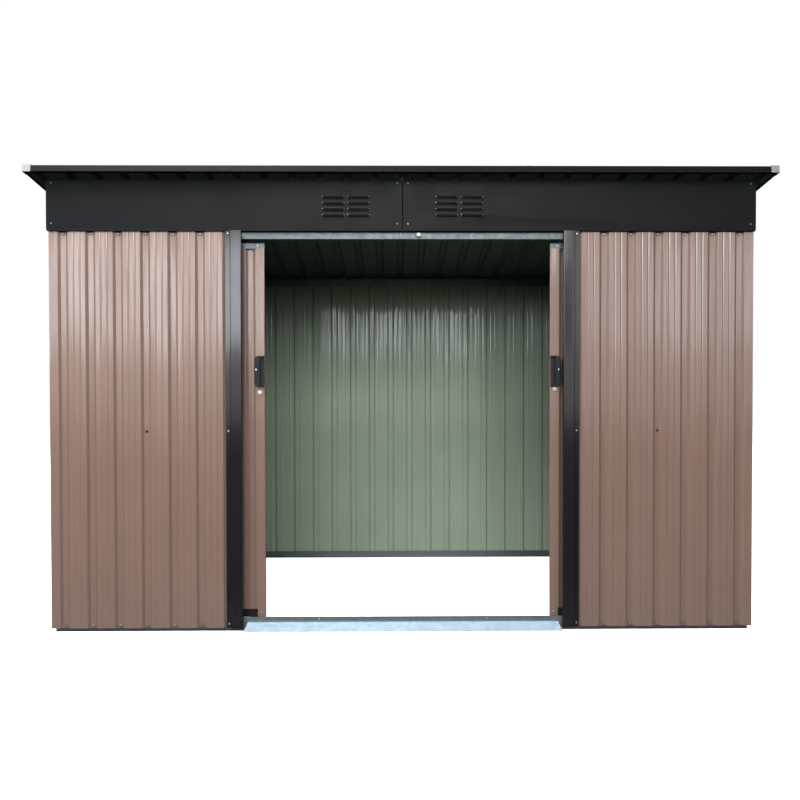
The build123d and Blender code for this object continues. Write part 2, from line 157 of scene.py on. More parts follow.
def painted_sheet(name, colour, shade, roughness, wave_mm, wave_strength,
                  run=(1, 1, 30), lean=0.0, gloss_ior=1.45, dust=None):
    """Baked paint on rolled sheet: colour drift, orange peel, waves stretched along run, dust near the ground."""
    material, tree, shader = new_material(name, IOR=gloss_ior)
    paint = mix_colours(tree, noise_band(tree, DRIFT_MM, 0.0, 1.0), colour, shade)
    if dust:
        place = add_node(tree, "ShaderNodeTexCoord")
        height = add_node(tree, "ShaderNodeSeparateXYZ", [("Vector", place.outputs["Object"])])
        fall = add_node(
            tree, "ShaderNodeMapRange",
            [("Value", height.outputs["Z"]), ("From Min", DUST_HEIGHT), ("From Max", 0.0), ("To Max", 0.5)],
        )
        patch = noise_band(tree, DUST_PATCH_MM, 0.2, 1.0)
        amount = add_node(tree, "ShaderNodeMath", [(0, fall.outputs["Result"]), (1, patch)], operation="MULTIPLY")
        paint = mix_colours(tree, amount.outputs["Value"], paint, dust)
    tree.links.new(paint, shader.inputs["Base Color"])
    gloss = noise_band(tree, GLOSS_PATCH_MM, roughness * 0.92, roughness * 1.1)
    tree.links.new(gloss, shader.inputs["Roughness"])
    # Each wave leans the sheet a little up or down, which is what makes the streak ends ragged
    facing = add_node(tree, "ShaderNodeNewGeometry")
    tip = add_node(
        tree, "ShaderNodeCombineXYZ", [("Z", noise_band(tree, wave_mm, -lean, lean, stretch=(1, 1, 60), detail=1.0))]
    )
    leaned = add_node(
        tree, "ShaderNodeVectorMath", [(0, facing.outputs["Normal"]), (1, tip.outputs["Vector"])], operation="ADD"
    )
    upright = add_node(tree, "ShaderNodeVectorMath", [(0, leaned.outputs["Vector"])], operation="NORMALIZE")
    waves = noise_band(tree, wave_mm, 0.0, 1.0, stretch=run, detail=1.0)
    long_waves = add_node(
        tree, "ShaderNodeBump",
        [("Height", waves), ("Strength", wave_strength), ("Distance", 0.4 * MM),
         ("Normal", upright.outputs["Vector"])],
    )
    peel = add_node(
        tree, "ShaderNodeBump",
        [("Height", noise_band(tree, PEEL_MM, 0.0, 1.0)), ("Strength", 0.06), ("Distance", 0.1 * MM),
         ("Normal", long_waves.outputs["Normal"])],
    )
    tree.links.new(peel.outputs["Normal"], shader.inputs["Normal"])
    return material


ROOF_RUN = (1, 30, 30)
# Taupe polyester: a warm brown-grey with a clear gloss, dull with dust along the ground
taupe = painted_sheet(
    "taupe_polyester_paint", "#735E55", "#6F5B52", roughness=0.13, wave_mm=16, wave_strength=0.5,
    lean=0.014, dust="#6A5F58",
)
# Backing coat: a thinner, greener paint with a weaker gloss, on the inside of the same sheets
backing = painted_sheet(
    "grey_green_backing_coat", "#95A390", "#8F9D8A", roughness=0.07, wave_mm=16, wave_strength=0.6,
    lean=0.012, gloss_ior=1.32,
)
# Black gloss enamel on the door posts: nearly no colour of its own, only what it mirrors
black_gloss = painted_sheet(
    "black_gloss_enamel", "#17171B", "#1A1A1E", roughness=0.12, wave_mm=40, wave_strength=0.25,
    lean=0.006, dust="#2A2826",
)
# Black satin powder coat on the fascia, gables and front trim: a weak, wide gloss that keeps large faces dark
black_satin = painted_sheet(
    "black_satin_powder_coat", "#0D0E0F", "#101112", roughness=0.42, wave_mm=60, wave_strength=0.12,
    run=ROOF_RUN, gloss_ior=1.16,
)
# Roof sheets and the trims round them: black after sun and rain, chalky enough not to glare
roof_black = painted_sheet(
    "weathered_black_polyester", "#191A1C", "#1E1F21", roughness=0.7, wave_mm=60, wave_strength=0.12,
    run=ROOF_RUN, gloss_ior=1.1,
)
# Crowns of the louvre hoods: a grey that is painted light, standing in for the sky that they catch as they look up
crown_painted_light = painted_sheet(
    "crown_painted_light_powder_coat", "#29292A", "#232324", roughness=0.65, wave_mm=60, wave_strength=0.1,
    run=ROOF_RUN, gloss_ior=1.1,
)
# Painted shade: a near-black matt on the lips of the louvre hoods and in the fascia's middle seam, where shade falls
black_painted_shade = painted_sheet(
    "black_powder_coat_painted_shade", "#090909", "#0B0B0B", roughness=0.55, wave_mm=60, wave_strength=0.1,
    run=ROOF_RUN, gloss_ior=1.1,
)
# Underside of the roof: a dark backing coat that hardly shines
roof_under = painted_sheet(
    "dark_roof_backing_coat", "#5A676A", "#546164", roughness=0.35, wave_mm=22, wave_strength=0.3, run=ROOF_RUN
)
steels = (taupe, backing, black_gloss, black_satin, roof_black, crown_painted_light, black_painted_shade, roof_under)
print("painted steels:", [m.name for m in steels])

# %% [markdown]
# Rails, tracks and posts inside are plain galvanised steel: zinc in flat crystals called spangle, each a slightly
# different grey. A Voronoi pattern has the same cells. The sill is fresher zinc, nearly white under the sky.

# %% Galvanised steel
def galvanised(name, colour, shade, roughness, spangle_mm):
    """Hot-dip zinc: spangle cells that differ in brightness and polish."""
    material, tree, shader = new_material(name, Metallic=0.85)
    place = add_node(tree, "ShaderNodeTexCoord")
    cells = add_node(
        tree, "ShaderNodeTexVoronoi",
        [("Vector", place.outputs["Object"]), ("Scale", 1 / (spangle_mm * MM)), ("Randomness", 1.0)],
    )
    tone = add_node(tree, "ShaderNodeSeparateColor", [("Color", cells.outputs["Color"])])
    tree.links.new(mix_colours(tree, tone.outputs["Red"], colour, shade), shader.inputs["Base Color"])
    polish = add_node(
        tree, "ShaderNodeMapRange",
        [("Value", tone.outputs["Green"]), ("To Min", roughness * 0.85), ("To Max", roughness * 1.2)],
    )
    tree.links.new(polish.outputs["Result"], shader.inputs["Roughness"])
    grain = add_node(
        tree, "ShaderNodeBump",
        [("Height", noise_band(tree, 5, 0.0, 1.0)), ("Strength", 0.1), ("Distance", 0.1 * MM)],
    )
    tree.links.new(grain.outputs["Normal"], shader.inputs["Normal"])
    return material


# Hot-dip zinc on the track: mid grey with a soft sheen
zinc = galvanised("galvanised_steel", "#525759", "#4E5355", roughness=0.45, spangle_mm=9)
# Older zinc on the rails and posts inside: darker, with the sheen gone blue
zinc_dark = galvanised("weathered_galvanised_steel", "#6E777B", "#676F74", roughness=0.5, spangle_mm=9)
# Fresh zinc on the sill, almost white under the sky
zinc_bright = galvanised("fresh_zinc_sill", "#8899A4", "#8394A0", roughness=0.45, spangle_mm=14)
# Electroplated screws: smooth and bright, with crystals too small to see
zinc_plate = galvanised("bright_zinc_plate", "#A4A8AA", "#989C9E", roughness=0.3, spangle_mm=1.5)
print("zinc finishes:", [m.name for m in (zinc, zinc_dark, zinc_bright, zinc_plate)])

# %% [markdown]
# Small fittings are moulded: pale polypropylene corner caps, white nylon buttons and black ABS handles and guides.
# A mould is spark-eroded to a fine matt grain, so these get a close bump and a broad, soft gloss.

# %% Moulded plastics
def moulded(name, colour, shade, roughness, grain_mm, gloss_ior=1.49):
    """Moulded plastic with a spark-eroded grain and slight colour drift."""
    material, tree, shader = new_material(name, IOR=gloss_ior)
    tree.links.new(mix_colours(tree, noise_band(tree, 18, 0.0, 1.0), colour, shade), shader.inputs["Base Color"])
    tree.links.new(noise_band(tree, 8, roughness * 0.9, roughness * 1.15), shader.inputs["Roughness"])
    grain = add_node(
        tree, "ShaderNodeBump",
        [("Height", noise_band(tree, grain_mm, 0.0, 1.0)), ("Strength", 0.2), ("Distance", 0.1 * MM)],
    )
    tree.links.new(grain.outputs["Normal"], shader.inputs["Normal"])
    return material


# Polypropylene caps: off-white and slightly waxy
pale_cap = moulded("pale_polypropylene", "#767675", "#70706F", roughness=0.4, grain_mm=1.5)
# Nylon buttons and plug: a whiter, smoother plastic
white_nylon = moulded("white_nylon", "#B4B2AD", "#ABA9A4", roughness=0.3, grain_mm=1.5)
# ABS handles, guides and hangers: black with a grey bloom where the grain scatters light
black_abs = moulded("black_abs", "#121315", "#0E0F11", roughness=0.5, grain_mm=1.2, gloss_ior=1.3)
# Neoprene washers under the screws: matt black rubber
neoprene = moulded("black_neoprene", "#1B1A19", "#151413", roughness=0.7, grain_mm=1.0)
print("plastics:", [m.name for m in (pale_cap, white_nylon, black_abs, neoprene)])

# %% [markdown]
# Folded sheet has rounded bends, and a bend is where sheet metal catches the light. The CAD pieces are prisms with
# sharp corners, so each one is rebuilt here: its end outline is read from the CAD mesh, every bend gets an arc,
# and the outline is drawn out again to the same length. The new mesh stands where the CAD piece stands.

# %% Rounded folded pieces
SHEET_BEND = (3.0 * MM, 2.2 * MM)
ARC_STEP = math.radians(16)
SHORT_EDGE = 2.0 * MM


def end_outlines(node, axis):
    """Low end of each prism in a node along axis: its corners and the prism's length."""
    bm = bmesh.new()
    bm.from_mesh(nodes[node].data)
    bmesh.ops.remove_doubles(bm, verts=bm.verts, dist=0.01 * MM)
    bmesh.ops.dissolve_limit(bm, angle_limit=math.radians(0.5), verts=bm.verts, edges=bm.edges)
    outlines = []
    for face in bm.faces:
        if face.normal.dot(axis) > -0.99:
            continue
        solid, edge_of_search = set(face.verts), list(face.verts)
        while edge_of_search:
            vert = edge_of_search.pop()
            fresh = [e.other_vert(vert) for e in vert.link_edges if e.other_vert(vert) not in solid]
            solid.update(fresh)
            edge_of_search.extend(fresh)
        reach = [v.co.dot(axis) for v in solid]
        outlines.append(([v.co.copy() for v in face.verts], max(reach) - min(reach)))
    bm.free()
    return outlines


def rounded(corners, axis, bend):
    """Outline with an arc at each bend, by its outside and inside radius; the sheet's cut ends stay sharp."""
    points = []
    count = len(corners)
    for i, corner in enumerate(corners):
        before, after = corners[i - 1] - corner, corners[(i + 1) % count] - corner
        into, out = -before.normalized(), after.normalized()
        turn = into.angle(out)
        if min(before.length, after.length) < SHORT_EDGE or turn < math.radians(2):
            points.append(corner)
            continue
        convex = into.cross(out).dot(axis) < 0
        radius = bend[0] if convex else bend[1]
        cut = min(radius * math.tan(turn / 2), 0.45 * min(before.length, after.length))
        radius = cut / math.tan(turn / 2)
        middle = corner + (out - into).normalized() * (radius / math.cos(turn / 2))
        start = corner - into * cut - middle
        steps = max(1, math.ceil(turn / ARC_STEP))
        spin = into.cross(out).normalized()
        for k in range(steps + 1):
            points.append(middle + Matrix.Rotation(turn * k / steps, 3, spin) @ start)
    return points


def finish_mesh(name, bm, body, materials, sharp_degrees=35):
    """Turn a bmesh into a smooth-shaded piece that rides on a body."""
    bmesh.ops.recalc_face_normals(bm, faces=bm.faces)
    mesh = bpy.data.meshes.new(name)
    bm.to_mesh(mesh)
    bm.free()
    for material in materials:
        mesh.materials.append(material)
    mesh.polygons.foreach_set("use_smooth", [True] * len(mesh.polygons))
    mesh.set_sharp_from_angle(angle=math.radians(sharp_degrees))
    piece = bpy.data.objects.new(name, mesh)
    bpy.context.scene.collection.objects.link(piece)
    weighted = piece.modifiers.new("weighted_normals", "WEIGHTED_NORMAL")
    weighted.keep_sharp = True
    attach(piece, body)
    return piece


def rounded_piece(node, axis, materials, pick=None, bend=SHEET_BEND):
    """Rebuild a folded CAD piece with round bends; pick gives each face its place in the list of materials."""
    axis = Vector(axis).normalized()
    bm = bmesh.new()
    for corners, length in end_outlines(node, axis):
        ring = rounded(corners, axis, bend)
        low = [bm.verts.new(p) for p in ring]
        high = [bm.verts.new(p + axis * length) for p in ring]
        bm.faces.new(low)
        bm.faces.new(high[::-1])
        for i in range(len(ring)):
            bm.faces.new((low[i - 1], low[i], high[i], high[i - 1]))
    bmesh.ops.recalc_face_normals(bm, faces=bm.faces)
    if pick:
        for face in bm.faces:
            face.material_index = pick(face)
    piece = finish_mesh(node + "_folded", bm, nodes[node]["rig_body"], materials)
    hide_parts(node)
    return piece


X_AXIS, Y_AXIS, Z_AXIS = Vector((1, 0, 0)), Vector((0, 1, 0)), Vector((0, 0, 1))
print("bends of", [round(r / MM, 1) for r in SHEET_BEND], "mm")

# %% [markdown]
# A painted coil is coated before it is cut, so a sheet has three finishes: the outside colour, the backing coat
# and bare zinc on the cut ends. The direction that a face looks in tells them apart.

# %% Wall, door and roof sheets
def sheet_sides(outward, along):
    """Rule for a sheet's faces: 0 outside, 1 inside, 2 cut end."""
    return lambda face: 2 if abs(face.normal.dot(along)) > 0.9 else int(face.normal.dot(outward) < -0.02)


wall_rows = [
    (-Y_AXIS, ("front_wall_left", "front_wall_right", "left_door_panel", "right_door_panel")),
    (Y_AXIS, ("back_wall_left", "back_wall_center", "back_wall_right")),
    (-X_AXIS, ("left_wall",)),
    (X_AXIS, ("right_wall",)),
]
faces_made = 0
for outward, names in wall_rows:
    for node in names:
        piece = rounded_piece(node, Z_AXIS, [taupe, backing, zinc_dark], sheet_sides(outward, Z_AXIS))
        faces_made += len(piece.data.polygons)

roof_mesh = nodes["roof_sheet_center"].data
runs = [roof_mesh.vertices[e.vertices[1]].co - roof_mesh.vertices[e.vertices[0]].co for e in roof_mesh.edges]
slope = max((run for run in runs if abs(run.x) < MM), key=lambda run: run.length).normalized()
slope = slope if slope.y > 0 else -slope
roof_up = X_AXIS.cross(slope)
for node in ("roof_sheet_left", "roof_sheet_center", "roof_sheet_right"):
    piece = rounded_piece(node, slope, [roof_black, roof_under, zinc_dark], sheet_sides(roof_up, slope))
    faces_made += len(piece.data.polygons)
print("sheets rebuilt with", faces_made, "faces; roof slopes", round(math.degrees(math.asin(-slope.z)), 2), "degrees")

# %% [markdown]
# The frame is folded from strip: rails and tracks run along X or Y, posts along Z, and the roof's side trims follow
# the slope. The door posts are pressed with one tight inside bend, so a thin dark seam stands beside the raised face.

# %% Rails, tracks, posts and trims
POST_BEND = (3.6 * MM, 0.5 * MM)
LEAF_MIDDLE = 1.0


def in_low_rail(face):
    """Place in the list of materials: 1 for the rail at the foot of a leaf, 0 for the one at its head."""
    return int(face.calc_center_median().z < LEAF_MIDDLE)


folded_rows = [
    (X_AXIS, zinc, ("base_rail_front_left", "base_rail_front_right", "upper_track")),
    (X_AXIS, zinc_dark, ("base_rail_back", "top_rail_back", "front_brace_left", "front_brace_right", "lower_track")),
    (Y_AXIS, zinc_dark, ("base_rail_left", "base_rail_right", "top_rail_left", "top_rail_right")),
    (Z_AXIS, zinc_dark, ("corner_post_front_left", "corner_post_front_right",
                         "corner_post_back_left", "corner_post_back_right")),
    (X_AXIS, black_satin, ("roof_trim_front",)),
    (X_AXIS, roof_black, ("roof_trim_back",)),
    (slope, roof_black, ("roof_trim_left", "roof_trim_right")),
    (Z_AXIS, taupe, ("left_door_stiles", "right_door_stiles")),
    (X_AXIS, black_abs, ("left_door_hangers", "right_door_hangers")),
]
for axis, material, names in folded_rows:
    for node in names:
        rounded_piece(node, axis, [material])
for side in ("left", "right"):
    rounded_piece(f"door_post_{side}", Z_AXIS, [black_gloss], bend=POST_BEND)
    # The leaf hangs from a bare zinc rail and stands on a black one
    rounded_piece(f"{side}_door_rails", X_AXIS, [zinc, black_gloss], in_low_rail)
print("folded pieces:", sum(len(row[2]) for row in folded_rows) + 4)

# %% [markdown]
# Pieces that aren't plain prisms keep their CAD meshes: the gables, the sill, the caps, the handles and the guides.
# A narrow bevel takes off the knife edges, so that they too catch a thin line of light.

# %% Pieces that keep their CAD mesh
def soften(node, material, edge_mm):
    """Give a CAD mesh its finish and a small edge rounding."""
    piece = nodes[node]
    piece.data.materials.clear()
    piece.data.materials.append(material)
    weld = piece.modifiers.new("weld", "WELD")
    weld.merge_threshold = 0.01 * MM
    bevel = piece.modifiers.new("edge_rounding", "BEVEL")
    bevel.width = edge_mm * MM
    bevel.segments = 2
    bevel.limit_method = "ANGLE"
    bevel.angle_limit = math.radians(40)
    piece.modifiers.new("weighted_normals", "WEIGHTED_NORMAL").keep_sharp = True


kept_rows = [
    (black_satin, 0.3, ("gable_left", "gable_right")),
    (zinc_bright, 0.4, ("door_sill",)),
    (pale_cap, 0.6, ("roof_corner_caps",)),
    (black_abs, 0.8, ("left_door_handle", "right_door_handle")),
    (black_abs, 2.0, ("left_door_guides", "right_door_guides")),
]
for material, edge_mm, names in kept_rows:
    for node in names:
        soften(node, material, edge_mm)
print("CAD meshes kept:", [node for row in kept_rows for node in row[2]])

# %% [markdown]
# The fascia is pressed with rows of louvre hoods. Its CAD mesh is copied, so that each face can take its own
# material:
# a grey of painted light on the crowns of the hoods, a near-black matt of painted shade on their lips, and satin on
# the flat. How far a face stands in front of the flat and the way it looks tell them apart.

# %% Pressed fascia
FASCIA_THICK = 1.2 * MM
front_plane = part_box("front_wall_left")[0].y
fascia_front = front_plane - FASCIA_THICK


def hood_light_or_shade(face):
    """Place in the list of materials: 0 on the flat, 1 on a hood's crown in painted light, 2 on its lip and ends in
    painted shade.
    """
    if face.calc_center_median().y > fascia_front - 0.1 * MM:
        return 0
    return 1 if face.normal.z > 0.2 else 2


for side in ("left", "right"):
    node = f"fascia_{side}"
    pressed = bmesh.new()
    pressed.from_mesh(nodes[node].data)
    bmesh.ops.remove_doubles(pressed, verts=pressed.verts, dist=0.01 * MM)
    bmesh.ops.dissolve_limit(pressed, angle_limit=math.radians(0.5), verts=pressed.verts, edges=pressed.edges)
    for face in pressed.faces:
        face.material_index = hood_light_or_shade(face)
    piece = finish_mesh(node + "_pressed", pressed, "shed", [black_satin, crown_painted_light, black_painted_shade])
    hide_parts(node)

    print(piece.name, len(piece.data.polygons), "faces")

# %% [markdown]
# A press brake leaves small folds. A rolled hem along the fascia's bottom looks down, so it draws a dark line over
# the doorway. A channel stands behind the middle seam and a thin strip lies in it over the track, both near-black
# matt as painted shade along the seam, and laps cover the joints of the front trim. All of them are straight lengths
# of one outline, so one function skins a stack of rings, and two rings make a length.

# %% Hem, seam and laps
HEM_RADIUS, HEM_STEPS, HEM_INSET = 3.0 * MM, 20, 12 * MM
CHANNEL = [(6, 8), (6, 0), (15, 0), (15, 1.2), (7.2, 1.2), (7.2, 9.2)]
SEAM_SHADE_STRIP = [(-2, 0), (2, 0), (2, -0.4), (-2, -0.4)]
LAP_LENGTH, LAP_START, LAP_GROWTH = 16 * MM, 6 * MM, 1.03


def stack_rings(bm, rings, material_index):
    """Skin a stack of equal rings of points and close both ends."""
    loops = [[bm.verts.new(p) for p in ring] for ring in rings]
    made = [bm.faces.new(loops[0][::-1]), bm.faces.new(loops[-1])]
    for lower, upper in zip(loops, loops[1:]):
        for i in range(len(lower)):
            made.append(bm.faces.new((lower[i - 1], lower[i], upper[i], upper[i - 1])))
    for face in made:
        face.material_index = material_index


def straight_length(bm, ring, run, material_index=0):
    """Closed prism from an end outline and the vector that it runs along."""
    stack_rings(bm, [ring, [p + run for p in ring]], material_index)


folds = bmesh.new()
fascia_low, fascia_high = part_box("fascia_left")[0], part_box("fascia_right")[1]
post_low, post_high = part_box("door_post_right")
hem_end = fascia_high.x - HEM_INSET
hem_turns = [2 * math.pi * k / HEM_STEPS for k in range(HEM_STEPS)]
hem_spans = [(-hem_end, -post_high.x - MM), (-post_low.x + MM, post_low.x - MM), (post_high.x + MM, hem_end)]
for start, end in hem_spans:
    round_hem = [
        Vector((start, front_plane - HEM_RADIUS * (1 + math.cos(a)), fascia_low.z + HEM_RADIUS * math.sin(a)))
        for a in hem_turns
    ]
    straight_length(folds, round_hem, X_AXIS * (end - start))
# Above the door track a channel stands behind the seam; in front of the track there is only room for a thin strip.
# Both are near-black matt, painted shade in the seam
track_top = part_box("upper_track")[1].z + MM
seam_rows = [
    (CHANNEL + [(-x, y) for x, y in CHANNEL[::-1]], track_top, fascia_high.z - HEM_INSET),
    (SEAM_SHADE_STRIP, fascia_low.z, track_top),
]
for outline, low, high in seam_rows:
    seam_ring = [Vector((x * MM, front_plane + y * MM, low)) for x, y in outline]
    straight_length(folds, seam_ring, Z_AXIS * (high - low), 1)
lengths = sorted(end_outlines("roof_trim_front", X_AXIS), key=lambda row: row[0][0].x)
for corners, length in lengths[:-1]:
    middle = sum(corners, Vector()) / len(corners)
    grown = [middle + (p - middle) * LAP_GROWTH for p in rounded(corners, X_AXIS, SHEET_BEND)]
    straight_length(folds, [p + X_AXIS * (length - LAP_START) for p in grown], X_AXIS * LAP_LENGTH)
print("hem, seam and laps:", len(folds.faces), "faces")

# %% [markdown]
# Each end of a louvre hood gets a painted highlight: a low dome of four rings in bright zinc, which stands in for the
# glint that the rounded end of a pressed hood catches. Its rings let it catch the light from many sides.

# %% Painted highlights at the louvre ends
LOUVRE_BLOCK, LOUVRE_COLUMN, LOUVRE_HALF = 213 * MM, 47.5 * MM, 40 * MM
LOUVRE_FIRST_ROW, LOUVRE_ROW, LOUVRE_ROWS = 60.5 * MM, 22.5 * MM, 4
DOME = [(2.1, -0.3), (2.0, 0.6), (1.4, 1.2), (0.5, 1.5)]
DOME_STEPS = 12
around = [2 * math.pi * k / DOME_STEPS for k in range(DOME_STEPS)]
columns = [side * LOUVRE_BLOCK + step * LOUVRE_COLUMN for side in (-1, 1) for step in (-1, 1)]
for x in [column + end * LOUVRE_HALF for column in columns for end in (-1, 1)]:
    for row in range(LOUVRE_ROWS):
        painted_glint = Vector((x, fascia_front, fascia_low.z + LOUVRE_FIRST_ROW + row * LOUVRE_ROW))
        rings = [[painted_glint + Vector((r * math.cos(a), -lift, r * math.sin(a))) * MM for a in around] for r, lift in DOME]
        # Material 2 is bright zinc, the painted highlight
        stack_rings(folds, rings, 2)
fold_piece = finish_mesh("fascia_and_trim_folds", folds, "shed", [black_satin, black_painted_shade, zinc_plate])
print("folds and points:", len(fold_piece.data.polygons), "faces")

# %% [markdown]
# A pan head is a low dome with a plus cut into it. All its rings share the twelve angles of the plus, so one loop
# of quads joins each ring to the next. The screws of one body are joined into one piece, because they never move
# apart.

# %% Screws
HEAD_RADIUS, HEAD_HEIGHT, WASHER_RADIUS = 3.8, 2.4, 5.6
CROSS_ARM, CROSS_HALF = 2.2, 0.7
PLUS = [(CROSS_ARM, CROSS_HALF), (CROSS_HALF, CROSS_HALF), (CROSS_HALF, CROSS_ARM)]
PLUS += [(-y, x) for x, y in PLUS]
PLUS += [(-x, -y) for x, y in PLUS]


def seat(place, outward):
    """Function from millimetres on a seat (across, along, up) to a place in the frame."""
    turn = Vector(outward).to_track_quat("Z", "Y").to_matrix()
    return lambda x, y, z: Vector(place) + turn @ (Vector((x, y, z)) * MM)


def pan_screw(bm, place, outward, washer=True, height=HEAD_HEIGHT, head_material=0):
    """Pan head with a cross recess, on a rubber washer, standing on a surface."""
    at = seat(place, outward)
    base = -0.2
    if washer:
        rounds = [(WASHER_RADIUS, base), (WASHER_RADIUS, 0.5), (WASHER_RADIUS - 0.5, 0.9)]
        circle = [2 * math.pi * k / 16 for k in range(16)]
        stack_rings(bm, [[at(r * math.cos(a), r * math.sin(a), z) for a in circle] for r, z in rounds], 1)
        base = 0.8
    angles = [math.atan2(y, x) for x, y in PLUS]
    dome = [(1.0, 0.0), (1.0, 0.35), (0.93, 0.68), (0.8, 0.9), (0.68, 1.0)]
    rings = [
        [at(HEAD_RADIUS * r * math.cos(a), HEAD_RADIUS * r * math.sin(a), base + height * z) for a in angles]
        for r, z in dome
    ]
    rings += [[at(x, y, base + height * z) for x, y in PLUS] for z in (1.0, 0.45)]
    stack_rings(bm, rings, head_material)


RIB_PITCH = 0.1025
GROOVE_DEPTH = 0.009
TOP_ROW, MIDDLE_ROW, BOTTOM_ROW = 1.500, 0.758, 0.024
FRONT_FIRST_GROOVE, SIDE_MIDDLE_GROOVE = 0.761, 0.015
FRONT_GROOVES, BACK_GROOVES, SIDE_GROOVES = range(6), range(13), range(-5, 6)
wall_low, wall_high = cad_box[0].copy(), cad_box[1].copy()
wall_low.x, wall_high.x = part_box("left_wall")[0].x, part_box("right_wall")[1].x
wall_low.y, wall_high.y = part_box("front_wall_left")[0].y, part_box("back_wall_center")[1].y
screws = bmesh.new()
for z in (TOP_ROW, BOTTOM_ROW):
    for side in (-1, 1):
        for k in FRONT_GROOVES:
            pan_screw(screws, (side * (FRONT_FIRST_GROOVE + RIB_PITCH * k), wall_low.y + GROOVE_DEPTH, z), -Y_AXIS)
        for k in BACK_GROOVES:
            pan_screw(screws, (side * (0.5 + k) * RIB_PITCH, wall_high.y - GROOVE_DEPTH, z), Y_AXIS)
        for k in SIDE_GROOVES:
            place = (side * (wall_high.x - GROOVE_DEPTH), SIDE_MIDDLE_GROOVE + RIB_PITCH * k, z)
            pan_screw(screws, place, side * X_AXIS)
print("wall screws have", len(screws.faces), "faces")

# %% [markdown]
# The rest of the screws hold the door posts, the fascia, the gables and the roof. Their places were read from the
# photograph where it shows them, and each stands on the face of the piece that it holds.

# %% Frame and roof screws
POST_FLANGE_X, POST_FOOT_ROW, BRACE_X = 0.6565, 0.030, 0.966
FASCIA_X, FASCIA_ROWS = (1.314, 0.020), (1.688, 1.536)
GABLE_Y, GABLE_ROW = (-0.50, -0.25, 0.0, 0.25, 0.50), 1.518
TRACK_X, TRACK_ROW = 0.32, 0.044
BACK_FLAT_X, BACK_FLAT_ROW, SHEET_THICK = (-0.627, -0.322, 0.082, 0.490), 0.336, 0.8 * MM
ROOF_ROWS_Y, ROOF_FLATS = (-0.565, 0.590), range(-13, 13)
gable_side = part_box("gable_right")[1].x
track_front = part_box("lower_track")[0].y
for side in (-1, 1):
    for z in (TOP_ROW, MIDDLE_ROW, POST_FOOT_ROW):
        pan_screw(screws, (side * POST_FLANGE_X, wall_low.y, z), -Y_AXIS)
    # Black rubber on the heads of the brace screws is a painted dark reflection
    pan_screw(screws, (side * BRACE_X, wall_low.y + GROOVE_DEPTH, MIDDLE_ROW), -Y_AXIS, head_material=1)
    for x in FASCIA_X:
        for z in FASCIA_ROWS:
            pan_screw(screws, (side * x, fascia_front, z), -Y_AXIS, washer=False, head_material=2)
    for y in GABLE_Y:
        pan_screw(screws, (side * gable_side, y, GABLE_ROW), side * X_AXIS)
    pan_screw(screws, (side * TRACK_X, track_front, TRACK_ROW), -Y_AXIS, washer=False)
for x in BACK_FLAT_X:
    # Screws through the back wall's flats show their plain ends inside
    pan_screw(screws, (x, wall_high.y - SHEET_THICK, BACK_FLAT_ROW), -Y_AXIS, washer=False)
    pan_screw(screws, (x, wall_high.y, BACK_FLAT_ROW), Y_AXIS)
levels = sorted({round(p.dot(roof_up), 4) for p in end_outlines("roof_sheet_center", slope)[0][0]})
for y in ROOF_ROWS_Y:
    for k in ROOF_FLATS:
        flat = Vector(((k + 0.5) * RIB_PITCH, 0, 0)) + roof_up * levels[1]
        along = (y - flat.y) / slope.y
        pan_screw(screws, flat + slope * along, roof_up)
screw_piece = finish_mesh("shed_screws", screws, "shed", [zinc_plate, neoprene, zinc_dark])
print("shed screws:", len(screw_piece.data.polygons), "faces")

# %% [markdown]
# Each leaf has white nylon stop buttons and a few screws of its own, so these ride with the leaf. A button is a
# turned shape: its profile is spun round an axis, as on a lathe. The track carries one white plug of the same kind.

# %% Door buttons, plug and door screws
BUTTON = [(2.2, 4.0), (2.6, 4.6), (6.5, 4.6), (8.0, 3.6), (8.7, 1.8), (8.7, -0.2)]
SPIN_STEPS = 28


def button(bm, place, outward, size_share=1.0, material_index=0):
    """Turned nylon button on a surface."""
    at = seat(place, outward)
    spin = [2 * math.pi * k / SPIN_STEPS for k in range(SPIN_STEPS)]
    profile = [(r * size_share, z) for r, z in BUTTON[::-1]]
    rings = [[at(r * math.cos(a), r * math.sin(a), z) for a in spin] for r, z in profile]
    stack_rings(bm, rings, material_index)


